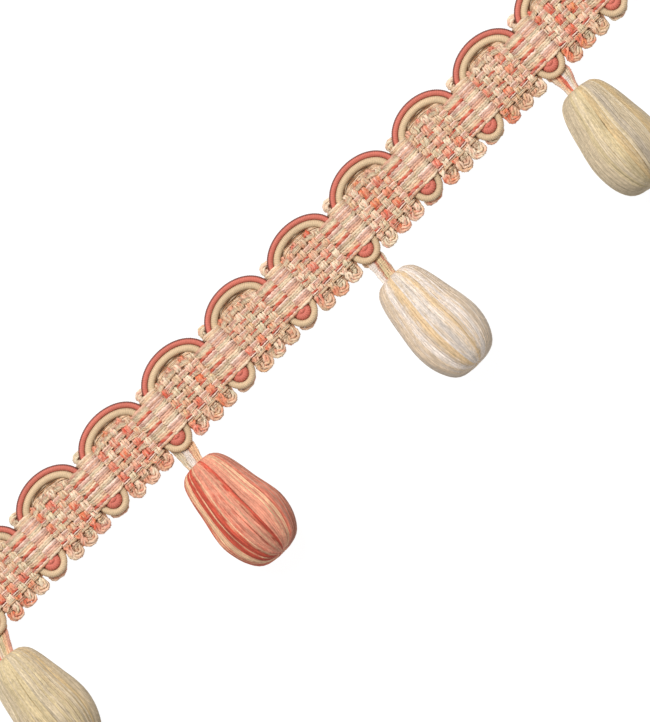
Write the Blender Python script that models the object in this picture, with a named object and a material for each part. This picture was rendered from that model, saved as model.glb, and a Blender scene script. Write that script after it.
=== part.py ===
"""A cut length of woven fringe trim with wound drops, lying on its back.

X runs along the trim, +Y points to the scallops, and the drops hang towards -Y.
Sizes below are in millimetres. Heights are measured up from the foot of the picots.
"""

import math

import bmesh
import bpy
from mathutils import Matrix, Vector

MM = 0.001

# Each repeat, from the middle of one eye to the middle of the next, as uneven as it was woven.
REPEATS = (19.98, 19.49, 19.85, 20.30, 20.33, 19.98, 20.12, 20.08, 19.55, 19.76, 20.01, 20.00)
# The top of each scallop's coral cord, above the foot of the picots.
CROWNS = (20.80, 21.05, 20.95, 20.75, 20.95, 21.05, 20.75, 21.00, 20.95, 20.90, 21.00, 20.90)

CORD_RADIUS = 0.65
CORD_Z = 1.6
CLEARANCE = 0.3
EYE_HEIGHT = 4.2
FOOT_HEIGHT = 13.9
CORAL_OFFSET = 1.35
ECRU_OFFSET = 2.95
ECRU_BELOW_CORAL = 1.75
BEND_STEPS = 5
ARC_STEPS = 11

# The band's raised columns lie over the cords, beside each eye.
LEFT_COLUMN = 4.3
RIGHT_COLUMN = 4.05
COLUMN_FOOT = 4.5
COLUMN_TOP = 14.7
TUNNEL_IN = 0.4
TUNNEL_OUT = 3.9
TUNNEL_ENDS = 0.6
TUNNEL_CHAMFER = 0.5
TAB_TOP = 17.9
PICKS = 6
PICK_CREST = 2.35
PICK_VALLEY = 1.95
COLUMN_EDGE = 0.92
PANEL_EDGE = 0.6
EDGE_ROUND = 0.8
PICOT_CUSP = 1.5

# A column's cross-section: distance from the eye's middle line, top of the band, height of its face.
COLUMN_SECTIONS = (
    # out, top, face
    (0.00, TAB_TOP, 2.75),
    (0.40, TAB_TOP, 2.80),
    (0.50, COLUMN_TOP, 2.95),
    (1.35, COLUMN_TOP, 3.20),
    (2.95, COLUMN_TOP, 3.20),
    (3.90, COLUMN_TOP, 2.60),
)

# The lower edge's loops, from one pick's side to another's.
PICOTS = (
    # first pick side, last pick side, depth
    (-0.2, 1.5, 1.5),
    (1.5, 4.0, 1.4),
    (4.0, 6.0, 1.5),
)

# A drop's outline, turned about its axis.
DROP_PROFILE = (
    # from the top, radius
    (2.00, 2.35),
    (0.15, 2.50),
    (0.00, 3.40),
    (0.40, 4.20),
    (1.70, 5.65),
    (4.10, 6.60),
    (8.80, 7.75),
    (13.60, 8.75),
    (16.90, 8.95),
    (19.60, 8.80),
    (22.10, 8.05),
    (24.60, 6.45),
    (26.40, 4.90),
    (27.40, 2.60),
)
DROP_HOLLOW = 2.0
DROP_END = 27.5
DROP_SIDES = 20
DROP_TILT = 8.0
FLAT_SPOT = 0.2

# One row for each drop, from the left.
DROPS = (
    # eye, sideways, below, lean, colour
    (1, -3.1, 4.3, 3.5, "gold_floss"),
    (4, -1.3, 4.0, 0.0, "coral_floss"),
    (7, -0.3, 5.1, 0.0, "cream_floss"),
    (10, -0.1, 4.7, 5.5, "gold_floss"),
)

# A hanger's sections, from its root behind the eye to its plug in the drop, and what follows each.
ROOT_SECTIONS = (
    # height, middle, thickness, what follows
    (3.9, 0.33, 0.50, "bar"),
    (2.7, 0.33, 0.50, "strands"),
    (0.9, 0.34, 0.52, "strands"),
    (-0.3, 0.75, 0.70, "strands"),
)
PLUG_SECTIONS = (
    # from the drop's top, thickness, what follows
    (-1.6, 1.00, "strands"),
    (-0.2, 1.40, "bar"),
    (1.5, 1.40, "end"),
)
STRANDS_AT_ROOT = (-2.40, -1.00, -0.65, 0.65, 1.00, 2.40)
STRANDS_AT_PLUG = (-1.80, -0.78, -0.47, 0.47, 0.78, 1.80)

# The origin lies midway between the lowest drop's end and the highest scallop.
LOWEST = -32.60
HIGHEST = max(CROWNS)

FINISHES = {
    # red, green, blue, roughness
    "heading_yarn": (0.78, 0.52, 0.38, 0.85),
    "coral_gimp": (0.70, 0.16, 0.12, 0.60),
    "ecru_gimp": (0.72, 0.52, 0.30, 0.60),
    "hanger_floss": (0.82, 0.58, 0.46, 0.70),
    "gold_floss": (0.62, 0.55, 0.36, 0.70),
    "coral_floss": (0.72, 0.22, 0.16, 0.70),
    "cream_floss": (0.86, 0.76, 0.64, 0.70),
}


def clear_scene():
    for obj in list(bpy.data.objects):
        bpy.data.objects.remove(obj, do_unlink=True)


def finish_of(name):
    """The Principled material of this name."""
    if name in bpy.data.materials:
        return bpy.data.materials[name]
    red, green, blue, roughness = FINISHES[name]
    made = bpy.data.materials.new(name)
    made.use_nodes = True
    shader = made.node_tree.nodes["Principled BSDF"]
    shader.inputs["Base Color"].default_value = (red, green, blue, 1)
    shader.inputs["Roughness"].default_value = roughness
    shader.inputs["Metallic"].default_value = 0
    return made


def object_of(name, data, parent, finish):
    obj = bpy.data.objects.new(name, data)
    bpy.context.scene.collection.objects.link(obj)
    obj.parent = parent
    data.materials.append(finish_of(finish))
    return obj


def mesh_of(name, bm, smooth):
    bmesh.ops.recalc_face_normals(bm, faces=bm.faces)
    bmesh.ops.scale(bm, vec=(MM, MM, MM), verts=bm.verts)
    mesh = bpy.data.meshes.new(name)
    bm.to_mesh(mesh)
    bm.free()
    if smooth:
        mesh.shade_smooth()
        mesh.set_sharp_from_angle(angle=math.radians(50))
    return mesh


def eye_places():
    """How far each eye's middle lies from the left cut end."""
    places = [0.0]
    for width in REPEATS:
        places.append(places[-1] + width)
    return places


def scallop_height(along, middle, half_width, rise):
    """The height of an elliptical scallop at one place along the trim."""
    share = min(1.0, abs(along - middle) / half_width)
    return FOOT_HEIGHT + rise * math.sqrt(1 - share * share)


def cord_route(eyes, offset, below_crown):
    """The serpentine's points: round each eye, up its column and over the scallop."""
    bottom = EYE_HEIGHT - offset
    points = [(eyes[0], bottom), (eyes[0] + CLEARANCE, bottom)]
    last = len(REPEATS) - 1
    for i, crown in enumerate(CROWNS):
        left, right = eyes[i], eyes[i + 1]
        middle, half_width = (left + right) / 2, (right - left) / 2 - offset
        rise = crown - CORD_RADIUS - below_crown - FOOT_HEIGHT
        for step in range(1, BEND_STEPS + 1):
            turn = math.pi / 2 * step / BEND_STEPS
            points.append((left + offset * math.sin(turn), EYE_HEIGHT - offset * math.cos(turn)))
        for step in range(ARC_STEPS + 1):
            turn = math.pi * step / ARC_STEPS
            points.append((middle - half_width * math.cos(turn), FOOT_HEIGHT + rise * math.sin(turn)))
        for step in range(BEND_STEPS + (i < last)):
            turn = math.pi / 2 * step / BEND_STEPS
            points.append((right - offset * math.cos(turn), EYE_HEIGHT - offset * math.sin(turn)))
    points += [(eyes[-1] - CLEARANCE, bottom), (eyes[-1], bottom)]
    return points


def make_cord(name, eyes, offset, below_crown, parent, finish):
    points = cord_route(eyes, offset, below_crown)
    curve = bpy.data.curves.new(name, "CURVE")
    curve.dimensions = "3D"
    curve.bevel_depth = CORD_RADIUS * MM
    curve.bevel_resolution = 1
    curve.use_fill_caps = True
    spline = curve.splines.new("POLY")
    spline.points.add(len(points) - 1)
    for point, (along, height) in zip(spline.points, points):
        point.co = (along * MM, height * MM, CORD_Z * MM, 1)
    return object_of(name, curve, parent, finish)


def picot_foot(side):
    """The band's lower edge at so many pick widths past the right column."""
    for first, last, depth in PICOTS:
        if first <= side <= last:
            share = (2 * side - first - last) / (last - first)
            return PICOT_CUSP - depth * math.sqrt(max(0.0, 1 - share * share))
    return PICOT_CUSP


def band_sections(eyes):
    """The band's cross-sections from the left cut end to the right one."""
    sections = []
    for i, crown in enumerate(CROWNS):
        left, right = eyes[i], eyes[i + 1]
        middle, half_width = (left + right) / 2, (right - left) / 2
        panel_half = half_width - ECRU_OFFSET - CORD_RADIUS - CLEARANCE
        panel_rise = crown - 2 * CORD_RADIUS - ECRU_BELOW_CORAL - CLEARANCE - FOOT_HEIGHT
        for out, top, face in COLUMN_SECTIONS:
            sections.append((left + out, COLUMN_FOOT, top, face, COLUMN_EDGE))
        pick_width = (right - left - LEFT_COLUMN - RIGHT_COLUMN) / PICKS
        for half_pick in range(2 * PICKS + 1):
            side = half_pick / 2
            along = left + RIGHT_COLUMN + side * pick_width
            top = scallop_height(along, middle, panel_half, panel_rise)
            face = PICK_CREST if half_pick % 2 else PICK_VALLEY
            sections.append((along, picot_foot(side), top, face, PANEL_EDGE))
        for out, top, face in reversed(COLUMN_SECTIONS[1:]):
            sections.append((right - out, COLUMN_FOOT, top, face, COLUMN_EDGE))
    out, top, face = COLUMN_SECTIONS[0]
    sections.append((eyes[-1], COLUMN_FOOT, top, face, COLUMN_EDGE))
    return sections


def make_band(eyes, parent):
    """The woven band: each cross-section is one ring of points, joined to the next."""
    bm = bmesh.new()
    rings = []
    for along, foot, top, face, edge in band_sections(eyes):
        outline = (
            (foot, 0.0),
            (top, 0.0),
            (top, face * edge),
            (top - EDGE_ROUND, face),
            (foot + EDGE_ROUND, face),
            (foot, face * edge),
        )
        rings.append([bm.verts.new((along, height, z)) for height, z in outline])
    for ring, after in zip(rings, rings[1:]):
        for k in range(len(ring)):
            n = (k + 1) % len(ring)
            bm.faces.new((ring[k], ring[n], after[n], after[k]))
    bm.faces.new(rings[0])
    bm.faces.new(rings[-1])
    bmesh.ops.triangulate(bm, faces=bm.faces)
    return object_of("heading", mesh_of("heading", bm, False), parent, "heading_yarn")


def add_tunnel(bm, middle, side):
    """One chamfered passage for the cord pair, on one side of an eye."""
    low, high = CORD_Z - CORD_RADIUS - CLEARANCE, CORD_Z + CORD_RADIUS + CLEARANCE
    near, far, cut = TUNNEL_IN, TUNNEL_OUT, TUNNEL_CHAMFER
    outline = (
        (near + cut, low),
        (far - cut, low),
        (far, low + cut),
        (far, high - cut),
        (far - cut, high),
        (near + cut, high),
        (near, high - cut),
        (near, low + cut),
    )
    ends = (COLUMN_FOOT - TUNNEL_ENDS, COLUMN_TOP + TUNNEL_ENDS)
    rings = [[bm.verts.new((middle + side * out, end, z)) for out, z in outline] for end in ends]
    for k in range(len(outline)):
        n = (k + 1) % len(outline)
        bm.faces.new((rings[0][k], rings[0][n], rings[1][n], rings[1][k]))
    bm.faces.new(rings[0])
    bm.faces.new(rings[1])


def cut_tunnels(band, eyes, parent):
    bm = bmesh.new()
    for i, middle in enumerate(eyes):
        if i > 0:
            add_tunnel(bm, middle, -1)
        if i < len(eyes) - 1:
            add_tunnel(bm, middle, 1)
    cutter = object_of("cord_tunnels", mesh_of("cord_tunnels", bm, False), parent, "heading_yarn")
    cutter.hide_render = True
    cutter.display_type = "WIRE"
    cut = band.modifiers.new("Cord tunnels", "BOOLEAN")
    cut.operation = "DIFFERENCE"
    cut.solver = "EXACT"
    cut.object = cutter


def drop_axis_height():
    """How high the middle of a drop's top lies when its belly rests on the surface."""
    tilt = math.radians(DROP_TILT)
    flat_side = math.cos(math.pi / DROP_SIDES)
    lowest = min(t * math.sin(tilt) - r * flat_side * math.cos(tilt) for t, r in DROP_PROFILE)
    return -lowest - FLAT_SPOT


def drop_frame():
    """From the drop's own axis, which is +Z from its top, to the drop lying along -Y."""
    lie_down = Matrix.Rotation(math.radians(90 - DROP_TILT), 4, "X")
    return Matrix.Translation((0, 0, drop_axis_height())) @ lie_down


def make_drop_mesh():
    """The turned mould, with a hollow at its top and a small flat spot under its belly."""
    bm = bmesh.new()
    rings = []
    for t, radius in DROP_PROFILE:
        ring = []
        for k in range(DROP_SIDES):
            turn = 2 * math.pi * (k + 0.5) / DROP_SIDES
            ring.append(bm.verts.new((radius * math.sin(turn), radius * math.cos(turn), t)))
        rings.append(ring)
    for ring, after in zip(rings, rings[1:]):
        for k in range(DROP_SIDES):
            n = (k + 1) % DROP_SIDES
            bm.faces.new((ring[k], ring[n], after[n], after[k]))
    for ring, t in ((rings[0], DROP_HOLLOW), (rings[-1], DROP_END)):
        tip = bm.verts.new((0, 0, t))
        for k in range(DROP_SIDES):
            bm.faces.new((ring[k], ring[(k + 1) % DROP_SIDES], tip))
    bmesh.ops.transform(bm, matrix=drop_frame(), verts=bm.verts)
    for vert in bm.verts:
        vert.co.z = max(vert.co.z, 0.0)
    return mesh_of("drop", bm, True)


def make_drop(number, eyes, row, mesh, parent):
    eye, sideways, below, lean, finish = row
    obj = object_of(f"drop_{number}", mesh.copy(), parent, finish)
    obj.location = ((eyes[eye] + sideways) * MM, -below * MM, 0)
    obj.rotation_euler.z = -math.radians(lean)
    return obj


def hanger_sections(eyes, row):
    """Each section's middle, the way its thickness runs, half its thickness, and what follows it."""
    eye, sideways, below, lean, _ = row
    place = Matrix.Translation((eyes[eye] + sideways, -below, 0))
    frame = place @ Matrix.Rotation(-math.radians(lean), 4, "Z") @ drop_frame()
    sections = []
    for height, middle, thickness, follows in ROOT_SECTIONS:
        sections.append((Vector((eyes[eye], height, middle)), Vector((0, 0, 1)), thickness / 2, follows))
    up = (frame.to_3x3() @ Vector((0, 1, 0))).normalized()
    for t, thickness, follows in PLUG_SECTIONS:
        sections.append((frame @ Vector((0, 0, t)), up, thickness / 2, follows))
    return sections


def upright_face(bm, ring, k):
    """The face across a section, between one strand side and the next."""
    bm.faces.new((ring[k][0], ring[k + 1][0], ring[k + 1][1], ring[k][1]))


def make_hanger(number, eyes, row, parent):
    """Floss strands that stand apart between a root bar and a plug."""
    bm = bmesh.new()
    sections = hanger_sections(eyes, row)
    last = len(STRANDS_AT_ROOT) - 1
    rings = []
    for i, (middle, up, half, _) in enumerate(sections):
        share = i / (len(sections) - 1)
        ring = []
        for at_root, at_plug in zip(STRANDS_AT_ROOT, STRANDS_AT_PLUG):
            side = middle + Vector((at_root + (at_plug - at_root) * share, 0, 0))
            ring.append((bm.verts.new(side - up * half), bm.verts.new(side + up * half)))
        rings.append(ring)
    for i, (ring, after) in enumerate(zip(rings, rings[1:])):
        is_bar = sections[i][3] == "bar"
        for k in range(last):
            if is_bar or k % 2 == 0:
                for level in (0, 1):
                    corners = (ring[k], ring[k + 1], after[k + 1], after[k])
                    bm.faces.new([corner[level] for corner in corners])
        for k in range(last + 1):
            if not is_bar or k in (0, last):
                bm.faces.new((ring[k][0], ring[k][1], after[k][1], after[k][0]))
        if i > 0 and sections[i - 1][3] != sections[i][3]:
            for k in range(1, last, 2):
                upright_face(bm, ring, k)
    for k in range(last):
        upright_face(bm, rings[0], k)
        upright_face(bm, rings[-1], k)
    name = f"hanger_{number}"
    return object_of(name, mesh_of(name, bm, False), parent, "hanger_floss")


def main():
    clear_scene()
    eyes = eye_places()
    trim = bpy.data.objects.new("trim", None)
    bpy.context.scene.collection.objects.link(trim)
    trim.location = (-eyes[-1] / 2 * MM, -(HIGHEST + LOWEST) / 2 * MM, 0)

    band = make_band(eyes, trim)
    cut_tunnels(band, eyes, trim)
    make_cord("coral_cord", eyes, CORAL_OFFSET, 0.0, trim, "coral_gimp")
    make_cord("ecru_cord", eyes, ECRU_OFFSET, ECRU_BELOW_CORAL, trim, "ecru_gimp")
    drop_mesh = make_drop_mesh()
    for number, row in enumerate(DROPS, 1):
        make_hanger(number, eyes, row, trim)
        make_drop(number, eyes, row, drop_mesh, trim)


main()
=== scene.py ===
import math

import bpy
import numpy as np
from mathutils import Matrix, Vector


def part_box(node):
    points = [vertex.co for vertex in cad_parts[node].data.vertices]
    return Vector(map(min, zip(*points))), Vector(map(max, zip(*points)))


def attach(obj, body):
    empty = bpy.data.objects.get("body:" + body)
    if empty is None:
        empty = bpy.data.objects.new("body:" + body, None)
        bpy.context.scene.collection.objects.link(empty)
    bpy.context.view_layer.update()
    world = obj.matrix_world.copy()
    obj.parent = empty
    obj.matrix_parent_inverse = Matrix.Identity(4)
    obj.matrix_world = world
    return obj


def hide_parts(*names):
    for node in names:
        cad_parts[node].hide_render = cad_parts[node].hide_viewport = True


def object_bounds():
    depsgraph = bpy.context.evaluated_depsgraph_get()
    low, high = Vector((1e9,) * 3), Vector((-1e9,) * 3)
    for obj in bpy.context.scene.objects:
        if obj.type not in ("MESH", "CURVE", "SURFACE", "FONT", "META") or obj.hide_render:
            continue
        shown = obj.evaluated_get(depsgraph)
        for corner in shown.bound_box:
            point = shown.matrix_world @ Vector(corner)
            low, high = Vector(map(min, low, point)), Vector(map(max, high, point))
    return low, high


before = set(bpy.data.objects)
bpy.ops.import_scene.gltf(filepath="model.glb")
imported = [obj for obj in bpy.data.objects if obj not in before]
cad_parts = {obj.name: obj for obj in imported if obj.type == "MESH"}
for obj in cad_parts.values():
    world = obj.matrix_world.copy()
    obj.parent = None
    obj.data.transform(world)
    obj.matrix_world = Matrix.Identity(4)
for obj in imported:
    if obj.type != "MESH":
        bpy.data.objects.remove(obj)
cadBox = [list(corner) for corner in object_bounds()]
print("frame loaded, the trim is", [round((b - a) * 1000, 1) for a, b in zip(*cadBox)], "mm")

mm = 0.001
dice = np.random.default_rng(41)

# What the whole trim shares, in millimetres. Heights are from the foot of the picots.
trim = {
    "repeats": (19.98, 19.49, 19.85, 20.30, 20.33, 19.98, 20.12, 20.08, 19.55, 19.76, 20.01, 20.00),
    "crowns": (20.80, 21.05, 20.95, 20.75, 20.95, 21.05, 20.75, 21.00, 20.95, 20.90, 21.00, 20.90),
    "leftColumn": 4.3,
    "rightColumn": 4.05,
    "picks": 6,
    "footHeight": 13.9,
    "eyeHeight": 4.45,
    "cordZ": 1.6,
}
originX = cadBox[0][0] / mm
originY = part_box("heading")[0][1] / mm
eyes = np.concatenate([[0.0], np.cumsum(trim["repeats"])])

# Yarn and floss colours, as sRGB from 0 to 255.
dyes = {
    "coral": (226, 102, 82),
    "deepCoral": (200, 92, 71),
    "orange": (230, 126, 88),
    "salmon": (230, 156, 130),
    "peach": (228, 182, 152),
    "blush": (243, 212, 194),
    "mauve": (204, 162, 144),
    "cream": (232, 204, 172),
    "ecru": (219, 181, 146),
    "straw": (230, 198, 148),
    "gold": (226, 182, 124),
    "sage": (212, 192, 162),
    "moss": (193, 167, 138),
    "rose": (212, 162, 138),
    "pale": (243, 220, 192),
    "lichen": (221, 205, 172),
    # This dark brown is painted shade, for yarns in the shadowed gap under the ecru cord.
    "gapShade": (188, 147, 111),
    "gimpCoral": (216, 119, 101),
    "gimpEcru": (222, 192, 154),
    "flossCoral": (210, 112, 88),
    "flossDeep": (195, 83, 63),
    "flossSalmon": (220, 149, 123),
    "flossLine": (228, 184, 146),
    "flossTaupe": (195, 177, 148),
    "flossSlate": (187, 172, 151),
    "flossStraw": (207, 187, 147),
    "flossGold": (205, 178, 134),
    "flossPearl": (210, 192, 162),
    "flossBeige": (214, 192, 166),
    "flossHoney": (218, 189, 150),
    "flossWhite": (226, 212, 198),
    "flossMist": (222, 209, 198),
    "flossRose": (205, 150, 128),
    "flossBrick": (184, 118, 96),
    # This floss colour is painted shade, for threads at a drop's sides where it turns away.
    "flossPaintedShade": (204, 188, 170),
}


# A named colour in linear light.
def dye(name):
    shares = np.array(dyes[name]) / 255
    return np.where(shares <= 0.04045, shares / 12.92, ((shares + 0.055) / 1.055) ** 2.4)


# From the trim's own millimetres to the frame's metres.
def place(points):
    return (np.asarray(points, float) + (originX, originY, 0)) * mm


# A Catmull-Rom line through rows of keys, with so many steps between each two.
def smoothLine(keys, steps):
    keys = np.asarray(keys, float)
    padded = np.vstack([2 * keys[0] - keys[1], keys, 2 * keys[-1] - keys[-2]])
    share = np.arange(steps)[:, None] / steps
    parts = []
    for a, b, c, d in zip(padded, padded[1:], padded[2:], padded[3:]):
        parts.append(
            0.5 * (2 * b + (c - a) * share + (2 * a - 5 * b + 4 * c - d) * share**2
                   + (3 * b - a - 3 * c + d) * share**3)
        )
    return np.vstack(parts + [keys[-1:]])


def lengthAlong(points):
    return np.concatenate([[0], np.cumsum(np.linalg.norm(np.diff(points, axis=0), axis=1))])


# A slow random drift of about this size along a yarn.
def wander(along, reach, size):
    knots = np.arange(0, along[-1] + 2 * reach, reach)
    return np.interp(along, knots, dice.normal(0, size, len(knots)))


# Colours that change along a yarn, from one named dye to the next.
def spaceDye(along, names, weights, shortest, longest):
    places, colours = [0.0], [dye(dice.choice(names, p=weights))]
    while places[-1] < along[-1]:
        stretch = dice.uniform(shortest, longest)
        colour = dye(dice.choice(names, p=weights))
        places += [places[-1] + 0.25 * stretch, places[-1] + stretch]
        colours += [colour, colour]
    return np.stack([np.interp(along, places, np.array(colours)[:, k]) for k in range(3)], axis=1)


# Open lines that become yarns, each point with its two plies' colours and its radius.
class Strands:
    def __init__(self):
        self.points, self.colours, self.seconds, self.radii, self.alongs = [], [], [], [], []

    def add(self, points, colours, radii, seconds=None):
        count = len(points)
        self.points.append(place(points))
        self.colours.append(np.broadcast_to(colours, (count, 3)))
        self.seconds.append(self.colours[-1] if seconds is None else np.broadcast_to(seconds, (count, 3)))
        self.radii.append(np.broadcast_to(radii, count) * mm)
        self.alongs.append(lengthAlong(points))

    def toObject(self, name):
        mesh = bpy.data.meshes.new(name)
        counts = [len(p) for p in self.points]
        starts = np.cumsum([0] + counts[:-1])
        edges = np.concatenate([np.arange(s, s + n - 1) for s, n in zip(starts, counts)])
        mesh.vertices.add(sum(counts))
        mesh.vertices.foreach_set("co", np.concatenate(self.points).ravel())
        mesh.edges.add(len(edges))
        mesh.edges.foreach_set("vertices", np.stack([edges, edges + 1], axis=1).ravel())
        for attribute, lists in (("yarnColour", self.colours), ("plyColour", self.seconds)):
            colours = np.clip(np.concatenate(lists), 0, 1)
            values = mesh.attributes.new(attribute, "FLOAT_COLOR", "POINT")
            values.data.foreach_set("color", np.hstack([colours, np.ones((len(colours), 1))]).ravel())
        for attribute, lists in (("yarnRadius", self.radii), ("along", self.alongs)):
            values = mesh.attributes.new(attribute, "FLOAT", "POINT")
            values.data.foreach_set("value", np.concatenate(lists))
        obj = bpy.data.objects.new(name, mesh)
        bpy.context.scene.collection.objects.link(obj)
        return obj


def addNode(tree, kind, **settings):
    node = tree.nodes.new(kind)
    for name, value in settings.items():
        if name == "inputs":
            for socket, constant in value.items():
                node.inputs[socket].default_value = constant
        else:
            setattr(node, name, value)
    return node


# A Math node on sockets or plain numbers.
def math2(tree, operation, first, second):
    node = addNode(tree, "ShaderNodeMath", operation=operation)
    for socket, value in zip(node.inputs, (first, second)):
        if isinstance(value, (int, float)):
            socket.default_value = value
        else:
            tree.links.new(value, socket)
    return node.outputs[0]


# A Geometry Nodes tree with named inputs, and its input and output nodes.
def newTree(name, inputs):
    tree = bpy.data.node_groups.new(name, "GeometryNodeTree")
    tree.interface.new_socket("Geometry", in_out="INPUT", socket_type="NodeSocketGeometry")
    for label, kind, default in inputs:
        socket = tree.interface.new_socket(label, in_out="INPUT", socket_type=kind)
        if default is not None:
            socket.default_value = default
    tree.interface.new_socket("Geometry", in_out="OUTPUT", socket_type="NodeSocketGeometry")
    return tree, tree.nodes.new("NodeGroupInput"), tree.nodes.new("NodeGroupOutput")


# Shades smooth, realizes instances and sets the material.
def finishTree(tree, shape, source, result):
    smooth = addNode(tree, "GeometryNodeSetShadeSmooth")
    real = addNode(tree, "GeometryNodeRealizeInstances")
    paint = addNode(tree, "GeometryNodeSetMaterial")
    tree.links.new(shape, smooth.inputs["Geometry"])
    tree.links.new(smooth.outputs[0], real.inputs["Geometry"])
    tree.links.new(real.outputs[0], paint.inputs["Geometry"])
    tree.links.new(source.outputs["Material"], paint.inputs["Material"])
    tree.links.new(paint.outputs[0], result.inputs["Geometry"])


# A round outline with a few lobes, which the twist turns into plies. It marks ply and crease.
def ringProfile(tree, sides, lobes, depth):
    circle = addNode(tree, "GeometryNodeCurvePrimitiveCircle", mode="RADIUS")
    circle.inputs["Radius"].default_value = 1
    tree.links.new(sides, circle.inputs["Resolution"])
    turn = addNode(tree, "GeometryNodeSplineParameter")
    whole = math2(tree, "MULTIPLY", turn.outputs["Factor"], 2 * math.pi)
    wave = math2(tree, "COSINE", math2(tree, "MULTIPLY", whole, lobes), 0)
    shape = circle.outputs["Curve"]
    for name, value in (("ply", math2(tree, "COSINE", whole, 0)), ("crest", wave)):
        mark = addNode(tree, "GeometryNodeStoreNamedAttribute", data_type="FLOAT", domain="POINT",
                       inputs={"Name": name})
        tree.links.new(shape, mark.inputs["Geometry"])
        tree.links.new(value, mark.inputs["Value"])
        shape = mark.outputs[0]
    swell = math2(tree, "ADD", math2(tree, "MULTIPLY", wave, depth), 1)
    spot = addNode(tree, "GeometryNodeInputPosition")
    scaled = addNode(tree, "ShaderNodeVectorMath", operation="SCALE")
    tree.links.new(spot.outputs[0], scaled.inputs[0])
    tree.links.new(swell, scaled.inputs["Scale"])
    moved = addNode(tree, "GeometryNodeSetPosition")
    tree.links.new(shape, moved.inputs["Geometry"])
    tree.links.new(scaled.outputs[0], moved.inputs["Position"])
    return moved.outputs[0]


# Sweeps each strand as a twisted yarn.
def yarnTree():
    tree, source, result = newTree("Twisted yarn", (
        ("Sides", "NodeSocketInt", 6),
        ("Plies", "NodeSocketFloat", 2.0),
        ("Ply depth", "NodeSocketFloat", 0.15),
        ("Turns per millimetre", "NodeSocketFloat", 0.5),
        ("Material", "NodeSocketMaterial", None),
    ))
    lines = addNode(tree, "GeometryNodeMeshToCurve")
    tree.links.new(source.outputs["Geometry"], lines.inputs["Mesh"])
    along = addNode(tree, "GeometryNodeInputNamedAttribute", data_type="FLOAT", inputs={"Name": "along"})
    radius = addNode(tree, "GeometryNodeInputNamedAttribute", data_type="FLOAT",
                     inputs={"Name": "yarnRadius"})
    twist = math2(tree, "MULTIPLY", along.outputs["Attribute"], source.outputs["Turns per millimetre"])
    tilt = addNode(tree, "GeometryNodeSetCurveTilt")
    tree.links.new(lines.outputs["Curve"], tilt.inputs["Curve"])
    tree.links.new(math2(tree, "MULTIPLY", twist, 2 * math.pi), tilt.inputs["Tilt"])
    profile = ringProfile(tree, source.outputs["Sides"], source.outputs["Plies"],
                          source.outputs["Ply depth"])
    sweep = addNode(tree, "GeometryNodeCurveToMesh", inputs={"Fill Caps": True})
    tree.links.new(tilt.outputs[0], sweep.inputs["Curve"])
    tree.links.new(profile, sweep.inputs["Profile Curve"])
    tree.links.new(radius.outputs["Attribute"], sweep.inputs["Scale"])
    finishTree(tree, sweep.outputs["Mesh"], source, result)
    return tree


# Wraps a line with slanting turns of fine thread: a ridge and a groove for each turn.
def gimpTree():
    tree, source, result = newTree("Wrapped gimp", (
        ("Sides", "NodeSocketInt", 8),
        ("Turn pitch", "NodeSocketFloat", 0.00036),
        ("Groove depth", "NodeSocketFloat", 0.07),
        ("Slant", "NodeSocketFloat", 0.2),
        ("Material", "NodeSocketMaterial", None),
    ))
    lines = addNode(tree, "GeometryNodeMeshToCurve")
    tree.links.new(source.outputs["Geometry"], lines.inputs["Mesh"])
    turns = addNode(tree, "GeometryNodeResampleCurve", mode="LENGTH")
    tree.links.new(lines.outputs["Curve"], turns.inputs["Curve"])
    tree.links.new(math2(tree, "MULTIPLY", source.outputs["Turn pitch"], 0.5), turns.inputs["Length"])
    index = addNode(tree, "GeometryNodeInputIndex")
    groove = math2(tree, "MODULO", index.outputs[0], 2)
    marked = addNode(tree, "GeometryNodeStoreNamedAttribute", data_type="FLOAT", domain="POINT",
                     inputs={"Name": "groove"})
    tree.links.new(turns.outputs[0], marked.inputs["Geometry"])
    tree.links.new(groove, marked.inputs["Value"])
    radius = addNode(tree, "GeometryNodeInputNamedAttribute", data_type="FLOAT",
                     inputs={"Name": "yarnRadius"})
    narrower = math2(tree, "SUBTRACT", 1, math2(tree, "MULTIPLY", groove, source.outputs["Groove depth"]))
    profile = ringProfile(tree, source.outputs["Sides"], 2, 0)
    slanted = addNode(tree, "GeometryNodeTransform")
    turn = addNode(tree, "ShaderNodeCombineXYZ")
    tree.links.new(source.outputs["Slant"], turn.inputs["X"])
    tree.links.new(profile, slanted.inputs["Geometry"])
    tree.links.new(turn.outputs[0], slanted.inputs["Rotation"])
    sweep = addNode(tree, "GeometryNodeCurveToMesh", inputs={"Fill Caps": True})
    tree.links.new(marked.outputs[0], sweep.inputs["Curve"])
    tree.links.new(slanted.outputs[0], sweep.inputs["Profile Curve"])
    tree.links.new(math2(tree, "MULTIPLY", radius.outputs["Attribute"], narrower), sweep.inputs["Scale"])
    finishTree(tree, sweep.outputs["Mesh"], source, result)
    return tree


# Runs the tree on the strands and keeps the result as a plain mesh that rides on the root.
def makePiece(strands, name, tree, settings, material):
    lines = strands.toObject(name + "_lines")
    modifier = lines.modifiers.new("Strands", "NODES")
    modifier.node_group = tree
    sockets = {item.name: item.identifier for item in tree.interface.items_tree if item.in_out == "INPUT"}
    for label, value in settings.items():
        modifier[sockets[label]] = value
    modifier[sockets["Material"]] = material
    graph = bpy.context.evaluated_depsgraph_get()
    mesh = bpy.data.meshes.new_from_object(lines.evaluated_get(graph))
    mesh.name = name
    bpy.data.objects.remove(lines)
    return keepPiece(name, mesh, material)


def keepPiece(name, mesh, material):
    piece = bpy.data.objects.new(name, mesh)
    bpy.context.scene.collection.objects.link(piece)
    if not mesh.materials:
        mesh.materials.append(material)
    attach(piece, "root")
    print("made", name, "with", sum(len(p.vertices) - 2 for p in mesh.polygons), "triangles")
    return piece


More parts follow.
